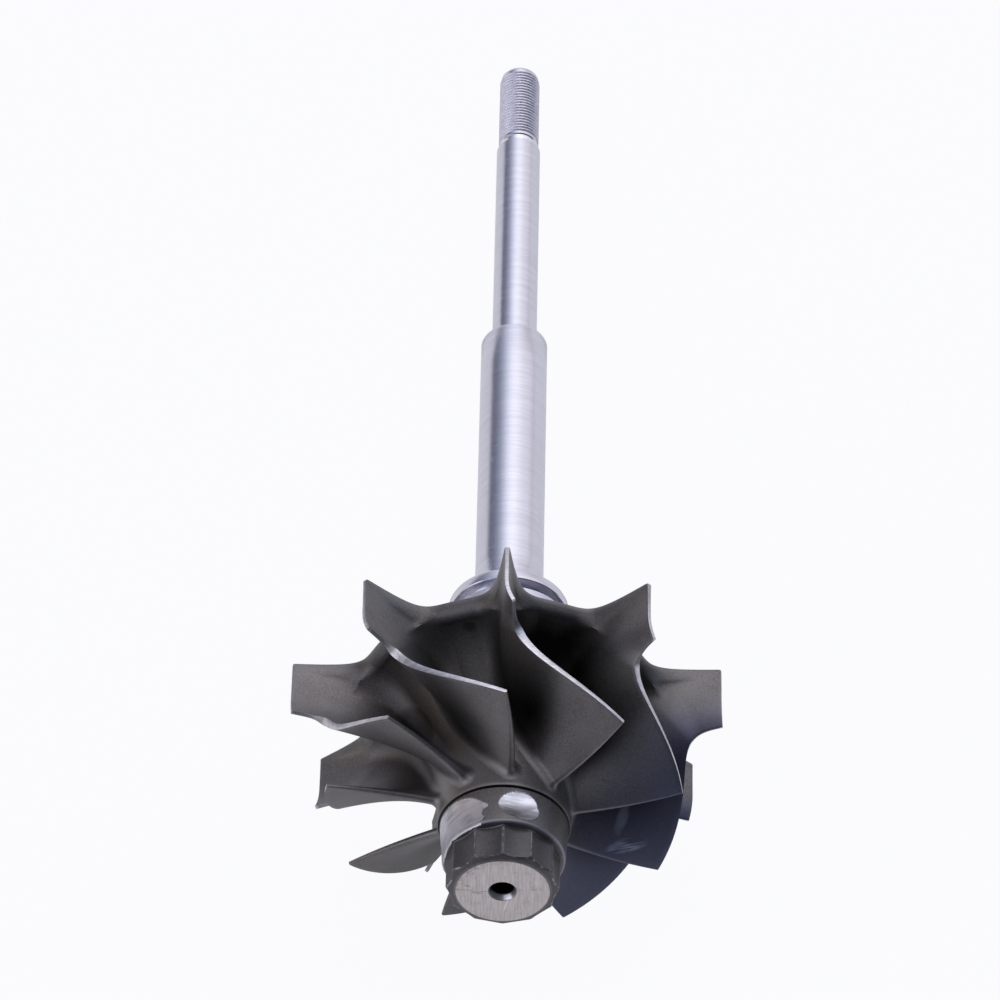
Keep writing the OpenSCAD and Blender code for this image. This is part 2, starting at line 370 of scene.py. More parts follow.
boss_rows = 40
nose_profile = [
    (PILOT_DEPTH + 0.75, 0), (PILOT_DEPTH, PILOT_R),
    (CONE_END + 0.06, PILOT_R), (CONE_END - 0.04, PILOT_R + 0.03),
    (0.05, MOUTH_R - 0.03), (0, MOUTH_R + 0.06),
    (0, 2.6), (0, 4), (0, FACE_R - 0.04), (0.02, FACE_R + 0.03)]
nose_profile += [(mix(0.02, CHAMFER, i / 4), mix(FACE_R + 0.03, POINTS_R, i / 4)) for i in range(1, 4)]
nose_profile += [(CHAMFER, POINTS_R - 0.08), (CHAMFER + 0.1, POINTS_R)]
nose_profile += [(mix(CHAMFER + 0.1, DRIVE_L - 0.25, i / 6), POINTS_R) for i in range(1, 7)]
nose_profile += [(DRIVE_L - 0.1, POINTS_R + 0.001), (DRIVE_L, POINTS_R + 0.08),
                 (DRIVE_L, BOSS_FRONT_R - BOSS_EDGE - 0.02)]
for a in (0, 0.4, 0.8, 1.2, math.pi / 2):
    z = DRIVE_L + BOSS_EDGE * (1 - math.cos(a))
    nose_profile.append((z, BOSS_FRONT_R - BOSS_EDGE * (1 - math.sin(a))))
for i in range(1, boss_rows + 1):
    z = mix(DRIVE_L + BOSS_EDGE, BOSS_END - 0.17, i / boss_rows)
    nose_profile.append((z, mix(BOSS_FRONT_R, BOSS_BACK_R, i / boss_rows)))
nose_profile += [(BOSS_END - 0.14, BOSS_BACK_R - 0.03), (BOSS_END - 0.12, BOSS_BACK_R - LINE_DEPTH),
                 (BOSS_END + 0.2, BOSS_BACK_R - LINE_DEPTH), (BOSS_END + 0.2, 0)]
drive_nose = turn("drive_nose", nose_profile, 720)
ground_vertices = set()
for vertex in drive_nose.data.vertices:
    x, y, z = vertex.co
    r = math.hypot(x, y)
    angle = math.degrees(math.atan2(y, x))
    r_new = r
    if z <= DRIVE_L + 0.001 and r > FACE_R + 0.01:
        flank = flute_radius(angle)
        if r >= POINTS_R - 0.1:
            r_new = flank + (r - POINTS_R)
        else:
            share = (r - FACE_R) / (POINTS_R - FACE_R)
            r_new = mix(FACE_R, flank, share)
        if z < CHAMFER + 0.11:
            z = z * (r_new - FACE_R) / (r - FACE_R)
    elif DRIVE_L < z < BOSS_END and r > BOSS_FRONT_R - 0.4:
        # The turn about the axis is counted from the boss's upper side
        turn_by = angle + 90 if angle < 90 else angle - 270
        r_new = min(spot_radius(turn_by, z, r), band_radius(turn_by, z, r))
        if r_new < r - LEAST_CUT * 0.8:
            ground_vertices.add(vertex.index)
    if r > 0:
        vertex.co = (x * r_new / r, y * r_new / r, z)


def stroke(x, y, line, width, seat):
    """Mask of a short scratch drawn from one point to another in the plane of the nose's face"""
    x0, y0, x1, y1 = line
    length = math.hypot(x1 - x0, y1 - y0)
    a = math.atan2(y1 - y0, x1 - x0)
    wander = seat.noise(0.6, 1.0) * width - width * 0.5
    along = (x - x0) * math.cos(a) + (y - y0) * math.sin(a)
    across = (y - y0) * math.cos(a) - (x - x0) * math.sin(a) + wander
    ends = along.step(-0.1, 0.15) * (1 - along.step(length - 0.2, length + 0.1))
    return (1 - across.math("ABSOLUTE").step(width * 0.4, width)) * ends


def dressed_nose():
    """The casting's skin on the flutes and the boss, and bright turned metal on the face and its centre"""
    material, start, shader, seat = new_material("cast_and_turned_nose")
    colour, roughness, height = cast_skin(start, seat)
    x, y, z = axes_of(seat)
    r = off_axis(x, y)

    # The turned face and its centre: pale metal lapped in one direction, with a few handling marks, painted
    # shade deep in the centre hole, and a painted glint on its cone
    face = (1 - z.step(0.03, 0.07)) * (1 - r.step(FACE_R - 0.02, FACE_R + 0.05))
    centre = 1 - r.step(MOUTH_R + 0.02, MOUTH_R + 0.08)
    turned = face.math("MAXIMUM", centre)
    lapped = drawn_out(start, x * 5.5, y * 0.3, 0, 4.0, 0.7)
    smears = seat.noise(0.8, 4.0, 0.6)
    pale = lapped.step(0.3, 0.7).blend((0.545, 0.485, 0.46, 1), (0.75, 0.695, 0.67, 1))
    pale = (smears.step(0.5, 0.72) * 0.4).blend(pale, (0.42, 0.38, 0.36, 1))
    scratches = 0
    for line, width in FACE_SCRATCHES:
        scratches = scratches + stroke(x, y, line, width, seat)
    handled = r.step(4.3, FACE_R) * (-1 * x - y).step(3.5, 6.5) * seat.noise(2.2, 3.0).step(0.45, 0.6)
    pale = (scratches * 0.65 + handled * 0.45).blend(pale, (0.13, 0.115, 0.115, 1))
    bright_mark = stroke(x, y, BRIGHT_SCRATCH, 0.09, seat) * (1 - centre)
    pale = bright_mark.blend(pale, (0.86, 0.84, 0.84, 1))
    pale = centre.blend(pale, (0.36, 0.345, 0.35, 1))
    # Painted shade: past the cone the centre hole is painted near black
    pale = (centre * z.step(CONE_END - 0.05, CONE_END + 0.2)).blend(pale, (0.02, 0.018, 0.02, 1))
    # Painted highlight: a glint on the lower right of the cone
    glint = (y.math("ARCTAN2", x) - GLINT_TURN).math("COSINE").step(0.9, 0.985)
    glint = glint * centre * (1 - z.step(CONE_END - 0.1, CONE_END))
    pale = glint.blend(pale, (0.97, 0.96, 0.99, 1))

    # Edges lightened here and there on the twelve points and the chamfer's rim: partly wear, partly a
    # painted highlight along the points' ridges
    ridge = (y.math("ARCTAN2", x) * FLUTES).math("COSINE").step(0.972, 0.995)
    ridge = ridge * z.step(CHAMFER + 0.05, CHAMFER + 0.2) * (1 - z.step(DRIVE_L - 0.4, DRIVE_L - 0.1))
    behind_rim = FACE_R + z * ((POINTS_R - FACE_R) / CHAMFER) - r
    rim = behind_rim.step(0.01, 0.05) * (1 - behind_rim.step(0.12, 0.35))
    rim = rim * (1 - z.step(CHAMFER + 0.1, CHAMFER + 0.2))
    flanks = z.step(0.08, 0.15) * (1 - z.step(DRIVE_L - 0.05, DRIVE_L + 0.05))
    flanks = flanks * r.step(FACE_R, FACE_R + 0.1)
    colour = (flanks * 0.4).blend(colour, (0.03, 0.032, 0.04, 1))
    # Painted highlight: the boss's rounded front edge is lightened with a lavender tone
    front_edge_highlight = z.step(DRIVE_L, DRIVE_L + 0.04) * (1 - z.step(DRIVE_L + 0.16, DRIVE_L + 0.36))
    front_edge_highlight = front_edge_highlight * r.step(BOSS_FRONT_R - 0.4, BOSS_FRONT_R - 0.3)
    colour = (front_edge_highlight * 0.6).blend(colour, (0.36, 0.35, 0.43, 1))
    wear_and_highlight = ridge * seat.noise(1.1, 2.0).step(0.4, 0.65) * 0.4
    wear_and_highlight = wear_and_highlight + rim * seat.noise(1.7, 3.0).step(0.46, 0.62) * 0.8
    colour = wear_and_highlight.blend(colour, (0.5, 0.49, 0.5, 1))
    # Painted shade: the line where the boss meets the hub is darkened
    line_shade = z.step(BOSS_END - 0.14, BOSS_END - 0.12)
    colour = (line_shade * 0.9).blend(colour, CREASE_SHADE)

    height = height * (1 - turned) + turned * (lapped * 0.2 - scratches * 0.5)
    feed(start, shader, {
        "Base Color": turned.blend(colour, pale),
        "Metallic": CAST_METALLIC + turned * (1 - CAST_METALLIC),
        "Roughness": roughness * (1 - turned) + turned * (0.36 + smears * 0.12),
        "Normal": bump(start, height, SKIN_STRENGTH, SKIN_DEPTH)})
    return material


def balance_ground():
    """Bright metal with the coarse lines that the balancing wheel leaves along its way"""
    material, start, shader, seat = new_material("balance_ground")
    x, y, z = axes_of(seat)
    wander = seat.noise(0.5, 2.0) * 1.2
    lines = drawn_out(start, z * 3.2 + wander, x * 0.25, y * 0.25, 4.0, 0.7)
    smears = drawn_out(start, z * 0.9 + wander, x * 0.4, y * 0.4, 2.0, 0.5)
    streaks = (lines * 0.55 + smears * 0.45).step(0.38, 0.58)
    colour = streaks.blend((0.55, 0.53, 0.565, 1), (0.95, 0.935, 0.98, 1))
    band = (1 - x.step(-3.2, -0.2)) * (1 - z.step(6.5, 9) * 0.4)
    colour = (band * 0.38).blend(colour, (0.3, 0.29, 0.315, 1))
    feed(start, shader, {
        "Base Color": colour,
        "Metallic": CAST_METALLIC,
        "Roughness": 0.24 + lines * 0.1 + band * 0.18,
        "Normal": bump(start, lines * 0.5 + smears * 0.3, 0.3, 0.00005)})
    return material


drive_nose.data.materials.append(dressed_nose())
drive_nose.data.materials.append(balance_ground())
for face in drive_nose.data.polygons:
    if ground_vertices.issuperset(face.vertices):
        face.material_index = 1
bpy.ops.object.shade_smooth_by_angle(angle=math.radians(28))
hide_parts("turbine_wheel")
lay_down(drive_nose)


# The hub and the scalloped back disc, the middle of the casting.
# The hub flares out into the disc; the disc is cut back between the blades in nine deep
# scallops, to save weight, and its rim is rounded by the mould.
HUB_R = 7.55
SCALLOP_R = 16.9
FLARE = 2.85
RIM_ROUND = 1.5
RIM_ROUND_START = 0.14
PIT = (-4.2, -14.1)
PIT_SHADE = (0.02, 0.018, 0.02, 1)
DISC_T = 1.9
DISC_TIP_T = 0.6
BACK_RISE = 1.5
BACK_FOOT = BACK_RISE * 0.6
FLAT_BACK_R = SCALLOP_R - 2.5
WELD_R = 7.3
WELD_ROUND = 1.6
WELD_Z = WHEEL_BACK + BACK_RISE + 1.7
FIRST_BLADE = 90 + PITCH / 2
hub_start = BOSS_END + 0.9
disc_front = WHEEL_BACK - DISC_T
flank_l = disc_front - hub_start


def hub_contour(u):
    """Place (z, radius) on the hub's quarter ellipse, from the disc at 0 to the boss at 1"""
    a = math.pi / 2 * u
    return disc_front - flank_l * (1 - math.cos(a)), SCALLOP_R - (SCALLOP_R - HUB_R) * math.sin(a)


def hub_radius(z):
    """Radius of the hub's surface at a distance z from the nose face"""
    if z >= disc_front:
        return SCALLOP_R
    cosine = 1 - (disc_front - z) / flank_l
    if cosine <= 0:
        return HUB_R
    return SCALLOP_R - (SCALLOP_R - HUB_R) * math.sqrt(1 - cosine * cosine)


def disc_front_at(r):
    """Height z of the disc's front face outside the scallops"""
    share = min(1, max(0, (r - SCALLOP_R) / (WHEEL_R - SCALLOP_R)))
    return mix(disc_front, WHEEL_BACK - DISC_TIP_T, share)


def wrapped_grid(name, rows, columns):
    """A flat grid one unit square, to be wrapped into a cast surface"""
    bpy.ops.object.select_all(action="DESELECT")
    bpy.ops.mesh.primitive_grid_add(
        x_subdivisions=rows, y_subdivisions=columns, size=1, location=(0.5, 0.5, 0))
    bpy.ops.object.transform_apply(location=True, rotation=False, scale=False)
    bpy.context.object.name = name
    return bpy.context.object


half_steps = 26
half_pitch = [mix(tip_angle, PITCH / 2, (i / half_steps) ** 2) for i in range(half_steps + 1)]
disc_angles = [-tip_angle] + half_pitch + [PITCH - a for a in half_pitch[-2:0:-1]]
disc_angles = [FIRST_BLADE + k * PITCH + a for k in range(BLADES) for a in disc_angles]
disc_angles.append(disc_angles[0] + 360)


def front_height(r):
    """Height z of the front face at a radius, on the hub's flare or on the disc"""
    if r >= SCALLOP_R:
        return disc_front_at(r)
    sine = min(1, (SCALLOP_R - r) / (SCALLOP_R - HUB_R))
    return hub_contour(math.asin(sine) / (math.pi / 2))[0]


def rim_at(off):
    """The rim at an angle off the nearest blade: its radius, and how wide and deep its round front is"""
    reach = SCALLOP_R + (ARM_R - SCALLOP_R) * math.exp(-max(0, off - tip_angle) / FLARE)
    round_r = min(RIM_ROUND, (reach - hub_contour(RIM_ROUND_START)[1]) * 0.8)
    fall = min(RIM_ROUND, (WHEEL_BACK - 0.1 - front_height(reach - round_r)) * 0.75)
    return reach, round_r, fall


def rim_shift(r, off):
    """How far the rim's rounding lies behind the front face at a radius and an angle off the blade"""
    reach, round_r, fall = rim_at(off)
    u = min(1, max(0, (r - reach + round_r) / round_r))
    if u == 0:
        return 0
    return front_height(reach - round_r) + fall * (1 - math.sqrt(1 - u * u)) - front_height(r)


def disc_section(angle):
    """Outline (z, radius) of the hub and disc at an angle: front, round the rim, and down the back"""
    off = abs((angle - FIRST_BLADE + PITCH / 2) % PITCH - PITCH / 2)
    reach, round_r, fall = rim_at(off)
    line = [
        (BOSS_END - 0.1, 6.6), (BOSS_END, 6.75), (BOSS_END, HUB_R - 0.14),
        (BOSS_END + 0.04, HUB_R - 0.04), (BOSS_END + 0.14, HUB_R), (hub_start - 0.4, HUB_R)]
    flare_rows = 34
    line += [hub_contour(1 - i / flare_rows * (1 - RIM_ROUND_START)) for i in range(flare_rows + 1)]
    r_in = line[-1][1]
    for i in range(1, 9):
        r = mix(r_in, reach - round_r, i / 8)
        line.append((front_height(r), r))
    z_front, r_front = line[-1]
    for i in range(1, 11):
        a = math.pi / 2 * i / 10
        line.append((z_front + fall * (1 - math.cos(a)), r_front + round_r * math.sin(a)))
    line += [
        (mix(z_front + fall, WHEEL_BACK - 0.12, 0.5), reach), (WHEEL_BACK - 0.12, reach),
        (WHEEL_BACK - 0.05, reach - 0.06), (WHEEL_BACK, reach - 0.2)]
    line += [(WHEEL_BACK, mix(reach - 0.2, FLAT_BACK_R, i / 5)) for i in range(1, 6)]
    for i in range(1, 9):
        z = WHEEL_BACK + BACK_FOOT * (1 - math.cos(math.pi / 2 * i / 8))
        line.append((z, mix(FLAT_BACK_R, WELD_R + WELD_ROUND, i / 8)))
    for i in range(1, 9):
        a = math.pi / 2 * i / 8
        z = mix(WHEEL_BACK + BACK_FOOT, WELD_Z - 0.1, 1 - math.cos(a))
        line.append((z, WELD_R + WELD_ROUND * (1 - math.sin(a))))
    line += [(WELD_Z, WELD_R - 0.1), (WELD_Z, 5.5)]
    return line


def hub_marks(start, seat, colour):
    """Painted shade in the groove behind the boss, and a dark pit in the skin of one channel"""
    x, y, z = axes_of(seat)
    # Painted shade in the groove behind the boss
    colour = (1 - z.step(BOSS_END + 0.01, BOSS_END + 0.03)).blend(colour, CREASE_SHADE)
    off = spread_from(PIT, (x, y), (0.35, 1)) + seat.noise(0.9, 2.0) * 0.6
    on_front = z.step(disc_front - 1.9, disc_front - 1.4) * (1 - z.step(disc_front + 0.6, disc_front + 1.1))
    pit = (1 - off.step(0.3, 0.75)) * on_front
    return (pit * 0.6).blend(colour, PIT_SHADE)


sections = [disc_section(angle) for angle in disc_angles]
hub_rows = len(sections[0]) - 1
hub_and_disc = wrapped_grid("hub_and_disc", hub_rows, len(disc_angles) - 1)
for vertex in hub_and_disc.data.vertices:
    i = round(vertex.co.x * hub_rows)
    j = round(vertex.co.y * (len(disc_angles) - 1))
    z, r = sections[j][i]
    a = math.radians(disc_angles[j])
    vertex.co = (r * math.cos(a), r * math.sin(a), z)
bpy.ops.object.mode_set(mode="EDIT")
bpy.ops.mesh.select_all(action="SELECT")
bpy.ops.mesh.remove_doubles(threshold=0.0005)
bpy.ops.mesh.select_all(action="DESELECT")
bpy.ops.mesh.select_non_manifold()
bpy.ops.mesh.edge_face_add()
bpy.ops.mesh.select_all(action="SELECT")
bpy.ops.mesh.normals_make_consistent(inside=False)
bpy.ops.object.mode_set(mode="OBJECT")
hub_and_disc.data.materials.append(cast_material("hub_casting", hub_marks))
bpy.ops.object.shade_smooth_by_angle(angle=math.radians(40))
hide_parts("turbine_wheel")
lay_down(hub_and_disc)


# The nine blades, cast in one with the hub.
# Each stands straight out at the back and curves round towards its outlet at the front;
# its outer edge and inlet tip are ground bright after casting, to the housing's contour.
OUTLET_R = 20.35
INLET_FRONT = WHEEL_BACK - 7.8
OUTLET_Z = 11.9
OUTLET_FOOT = 11.0
OUTLET_ROUND = 0.95
TWIST = 40.7
TWIST_POWER = 2.3
RADIAL_SHARE = 0.25
INLET_T = 0.42
KNEE = 0.4
KNEE_T = 0.95
OUTLET_T = 0.42
FOOT_T = 0.7
DISC_PART = 0.3
ROOTED = 0.35
FILLET = 1.9
ARM_FILLET = 3.4
KNEE_R = 21.3
SCUFFED = 6
SCUFF = (13.9, 6.6)
SMEAR = (14.4, 3.6)
foot_end = math.acos(1 - (disc_front - OUTLET_FOOT) / flank_l) / (math.pi / 2)
turning_depth = (WHEEL_BACK - OUTLET_Z) * (1 - RADIAL_SHARE)


def outer_edge(u):
    """Place (z, radius) on the ground outer edge, from the inlet at 0 to the outlet at 1"""
    pulls = [
        (INLET_FRONT, WHEEL_R), (INLET_FRONT - 0.4, WHEEL_R - 5.1),
        (OUTLET_Z + 7.3, OUTLET_R), (OUTLET_Z, OUTLET_R)]
    shares = [(1 - u) ** 3, 3 * u * (1 - u) ** 2, 3 * u * u * (1 - u), u ** 3]
    return tuple(sum(share * pull[i] for share, pull in zip(shares, pulls)) for i in (0, 1))


def foot_line(s):
    """Place (z, radius) where the blade's middle meets the disc or the hub"""
    if s < DISC_PART:
        r = mix(WHEEL_R, SCALLOP_R, s / DISC_PART)
        return disc_front_at(r), r
    return hub_contour((s - DISC_PART) / (1 - DISC_PART) * foot_end)


def blade_turn(z):
    """Degrees that the blade has turned about the axis at a distance z from the nose face"""
    return TWIST * max(0, 1 - (z - OUTLET_Z) / turning_depth) ** TWIST_POWER


def turn_rate(z):
    """Degrees of turn for each millimetre of z"""
    share = max(0, 1 - (z - OUTLET_Z) / turning_depth)
    return TWIST * TWIST_POWER * share ** (TWIST_POWER - 1) / turning_depth


def skin_half(s):
    """Half the blade's thickness at its outer edge: thin up to the knee, thick behind it"""
    if s < KNEE:
        return mix(INLET_T / 2, KNEE_T / 2, smooth(KNEE - 0.22, KNEE, s))
    return mix(KNEE_T / 2, OUTLET_T / 2, (s - KNEE) / (1 - KNEE))


def fillet_size(s):
    """Height and spread of the cast fillet at the blade's foot; on the disc it fills the scallops' arms"""
    full = FILLET * mix(1.6, 1, smooth(0.32, 0.62, s)) * mix(1, 0.5, smooth(0.5, 1, s))
    if s >= DISC_PART:
        return full, full
    r = mix(WHEEL_R, SCALLOP_R, s / DISC_PART)
    share = max(1e-4, min(1, (r - SCALLOP_R) / (ARM_R - SCALLOP_R)))
    arm = r * math.sin(math.radians(min(20, tip_angle - FLARE * math.log(share))))
    spread = max(0.02, min(full, arm - skin_half(s) - FOOT_T / 2 * s / DISC_PART - 0.03))
    return mix(ARM_FILLET, full, smooth(0.5, 1, s / DISC_PART)), spread


fillet_rows = 14
blade_rows = 30
nose_columns = 8


def blade_place(s, j, side, bend):
    """Place on one skin of a blade: row 0 lies in the hub, the next rows form the fillet.
    The bend, from 0 to 1, goes round the outlet edge to where the two skins meet."""
    z_foot, r_foot = foot_line(s)
    z_edge, r_edge = outer_edge(s)
    height = math.hypot(z_edge - z_foot, r_edge - r_foot)
    fillet, fillet_spread = fillet_size(s)
    fillet = min(fillet, height * 0.4)
    fillet_spread = min(fillet_spread, height * 0.4)
    spread = 0
    sink = 0
    if j == 0:
        sink = ROOTED
        h = 0
        spread = fillet_spread * 0.6
    elif j <= fillet_rows:
        a = math.pi / 2 * (j - 1) / (fillet_rows - 1)
        h = fillet * (1 - math.cos(a))
        spread = fillet_spread * (1 - math.sin(a))
        sink = 0.02 if j == 1 else 0
    else:
        h = mix(fillet, height, (j - fillet_rows) / (blade_rows - fillet_rows))
    q = h / height
    z = mix(z_foot, z_edge, q)
    r = mix(r_foot, r_edge, q)
    half = skin_half(s) + FOOT_T / 2 * (1 - q) * min(1, s / DISC_PART) + spread
    ahead = half * math.sin(math.pi / 2 * bend) - (half - spread) * smooth(OUTLET_ROUND, 1, s)
    half *= math.cos(math.pi / 2 * bend)
    slant = math.atan(r * turn_rate(z) * math.pi / 180)
    angle = blade_turn(z) + math.degrees((side * half * math.cos(slant) + ahead * math.sin(slant)) / r)
    z_new = z + side * half * math.sin(slant) - ahead * math.cos(slant)
    if s >= DISC_PART:
        follow = 1 - smooth(0, 2.5 * fillet, h)
        r += (hub_radius(min(z_new, disc_front)) - hub_radius(z)) * follow
        a = math.pi / 2 * (s - DISC_PART) / (1 - DISC_PART)
        z_new += sink * math.cos(a)
        r -= sink * math.sin(a)
    else:
        z_new += sink
    z_new += rim_shift(r_foot, abs(angle)) * max(0, 1 - h / fillet)
    return r, angle, min(z_new, WHEEL_BACK - 0.05)


blade_steps = 60
blade_columns = blade_steps + nose_columns
blade = wrapped_grid("blade", blade_columns, blade_rows)
bpy.ops.object.mode_set(mode="EDIT")
bpy.ops.mesh.select_all(action="SELECT")
bpy.ops.mesh.extrude_region_move(TRANSFORM_OT_translate={"value": (0, 0, 1)})
bpy.ops.object.mode_set(mode="OBJECT")
mesh = blade.data
for face in mesh.polygons:
    middle = face.center
    wall = 0.01 < middle.z < 0.99
    if wall and (middle.y > 0.999 or middle.x < 0.001):
        face.material_index = 1
    elif (middle.x * blade_columns - blade_steps) / nose_columns > 0.55:
        face.material_index = 2
for vertex in mesh.vertices:
    column, row, skin = vertex.co
    steps = column * blade_columns
    s = min(1, steps / blade_steps)
    bend = max(0, steps - blade_steps) / nose_columns
    r, angle, z = blade_place(s, round(row * blade_rows), 1 if skin > 0.5 else -1, bend)
    a = math.radians(FIRST_BLADE + angle)
    vertex.co = (r * math.cos(a), r * math.sin(a), z)
bpy.ops.object.mode_set(mode="EDIT")
bpy.ops.mesh.select_all(action="SELECT")
bpy.ops.mesh.remove_doubles(threshold=0.002)
bpy.ops.mesh.normals_make_consistent(inside=False)
bpy.ops.object.mode_set(mode="OBJECT")


def ground_edge():
    """The edge ground after casting: bright up to the knee, dull past it, and greyer at the inlet tip"""
    material, start, shader, seat = new_material("ground_edge")
    x, y, z = axes_of(seat)
    r = off_axis(x, y)
    rings = drawn_out(start, z * 7, r * 7, 0, 2.0, 0.6)
    smears = seat.noise(1.7, 3.0, 0.6)
    streaks = (rings * 0.5 + smears * 0.5).step(0.35, 0.65)
    colour = streaks.blend((0.55, 0.53, 0.545, 1), (0.8, 0.78, 0.8, 1))
    colour = (seat.noise(4.0, 2.0).step(0.66, 0.7) * 0.5).blend(colour, (0.2, 0.19, 0.19, 1))
    dull = r.step(KNEE_R - 0.2, KNEE_R + 0.2) * (1 - r.step(WHEEL_R - 0.5, WHEEL_R - 0.2))
    colour = (dull * (0.6 + x.step(-5, -1) * 0.3)).blend(colour, (0.17, 0.16, 0.155, 1))
    tip = r.step(WHEEL_R - 0.5, WHEEL_R - 0.2) * z.step(24, 27.5)
    colour = (tip * 0.55).blend(colour, (0.3, 0.28, 0.27, 1))
    feed(start, shader, {
        "Base Color": colour,
        "Metallic": 1.0 - dull * 0.15,
        "Roughness": 0.3 + smears * 0.15 + dull * 0.12,
        "Normal": bump(start, rings + smears * 0.4, 0.2, 0.00004)})
    return material


def outlet_edge_highlight(start, seat, colour):
    """A painted highlight: the thin outer part of the outlet edge is made pale on the right side of the
    wheel
    """
    x, y, z = axes_of(seat)
    edge_highlight = off_axis(x, y).step(11, 16) * x.step(1, 6) * (0.5 + seat.noise(1.2, 2.0) * 0.5)
    return (edge_highlight * 0.75).blend(colour, (0.42, 0.41, 0.44, 1))


mesh.materials.append(blasted_casting)
mesh.materials.append(ground_edge())
# The outlet edges carry a painted highlight
mesh.materials.append(cast_material("highlighted_outlet_edge", outlet_edge_highlight))
bevel = blade.modifiers.new("broken_edges", "BEVEL")
bevel.width = 0.05
bevel.segments = 2
bevel.limit_method = "ANGLE"
bevel.angle_limit = math.radians(55)
bevel.loop_slide = False
bpy.ops.object.modifier_apply(modifier="broken_edges")
bpy.ops.object.shade_smooth_by_angle(angle=math.radians(35))
blades = [blade]
for k in range(1, BLADES):
    copy = blade.copy()
    copy.data = blade.data.copy()
    copy.name = "blade_%d" % (k + 1)
    bpy.context.collection.objects.link(copy)
    a = math.radians(k * PITCH)
    for vertex in copy.data.vertices:
        x, y, z = vertex.co
        vertex.co = (x * math.cos(a) - y * math.sin(a), x * math.sin(a) + y * math.cos(a), z)
    blades.append(copy)
blade.name = "blade_1"


def scuff_marks(start, seat, colour):
    """A pale patch that something has rubbed onto the front of one blade, in short streaks"""
    x, y, z = axes_of(seat)
    from_middle = spread_from(SCUFF, (x, y), (0.2, 1.6))
    streaks = drawn_out(start, x * 0.22, y * 2.4, 0, 2.0, 0.6)
    patch = (1 - (from_middle + seat.noise(0.8, 2.0)).step(0.6, 1.9)) * streaks.step(0.38, 0.66)
    from_smear = spread_from(SMEAR, (x + y * 0.3, y), (1.6, 0.35))
    smear = (1 - (from_smear + seat.noise(0.9, 2.0)).step(0.5, 1.7)) * 0.4
    colour = smear.blend(colour, (0.42, 0.46, 0.54, 1))
    return (patch * 0.8).blend(colour, (0.46, 0.54, 0.68, 1))


blades[SCUFFED].data.materials.append(cast_material("scuffed_casting", scuff_marks))
for face in blades[SCUFFED].data.polygons:
    if face.material_index == 0 and face.normal.z < 0:
        face.material_index = 3
for piece in blades:
    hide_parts("turbine_wheel")
    lay_down(piece)


# The shaft: one bar of alloy steel, turned and ground, friction-welded to the wheel's boss.
# From the wheel come the collar with its seal-ring groove, the bearing journal, the thinner
# seat for the compressor wheel, a run-out groove, and the core of the nut's thread.
COLLAR_R = 7.0
JOURNAL_R = 4.0
SEAT_R = 2.7
THREAD_CORE = 2.33
GROOVE_START = 39.6
GROOVE_END = 40.9
GROOVE_R = 5.8
COLLAR_END = 42.3
JOURNAL_END = 85.1
RUNOUT_START = 119.2
RUNOUT_R = 2.2
THREAD_START = 120.2
CENTRE_R = 1.02
CENTRE_PILOT_R = 0.5
CENTRE_DEPTH = 2
shaft_profile = [
    (WELD_Z, 0), (WELD_Z, COLLAR_R - 0.05), (WELD_Z + 0.15, COLLAR_R),
    (GROOVE_START - 0.08, COLLAR_R), (GROOVE_START, COLLAR_R - 0.08), (GROOVE_START, GROOVE_R + 0.05),
    (GROOVE_START + 0.05, GROOVE_R), (GROOVE_END - 0.05, GROOVE_R),
    (GROOVE_END, GROOVE_R + 0.05), (GROOVE_END, COLLAR_R - 0.08), (GROOVE_END + 0.08, COLLAR_R),
    (COLLAR_END - 0.3, COLLAR_R), (COLLAR_END - 0.07, COLLAR_R - 0.1), (COLLAR_END, COLLAR_R - 0.3),
    (COLLAR_END, JOURNAL_R + 0.35), (COLLAR_END + 0.1, JOURNAL_R + 0.1), (COLLAR_END + 0.35, JOURNAL_R)]
shaft_profile += [(mix(COLLAR_END + 0.35, JOURNAL_END - 0.3, i / 8), JOURNAL_R) for i in range(1, 9)]
shaft_profile += [(JOURNAL_END - 0.08, JOURNAL_R - 0.08), (JOURNAL_END, JOURNAL_R - 0.3),
                  (JOURNAL_END, SEAT_R + 0.1), (JOURNAL_END + 0.08, SEAT_R)]
shaft_profile += [(mix(JOURNAL_END + 0.08, RUNOUT_START - 0.25, i / 8), SEAT_R) for i in range(1, 9)]
shaft_profile += [(RUNOUT_START, SEAT_R - 0.2), (RUNOUT_START + 0.05, RUNOUT_R + 0.05),
                  (RUNOUT_START + 0.15, RUNOUT_R - 0.02), (THREAD_START, RUNOUT_R - 0.02),
                  (THREAD_START + 0.1, THREAD_CORE), (SHAFT_END - 0.6, THREAD_CORE + 0.03),
                  (SHAFT_END - 0.32, THREAD_CORE), (SHAFT_END - 0.12, THREAD_CORE - 0.12),
                  (SHAFT_END, THREAD_CORE - 0.4), (SHAFT_END, CENTRE_R),
                  (SHAFT_END - 0.05, CENTRE_R - 0.05), (SHAFT_END - 0.87, CENTRE_PILOT_R),
                  (SHAFT_END - CENTRE_DEPTH, CENTRE_PILOT_R), (SHAFT_END - CENTRE_DEPTH - 0.3, 0)]
shaft = turn("ground_shaft", shaft_profile, 160)


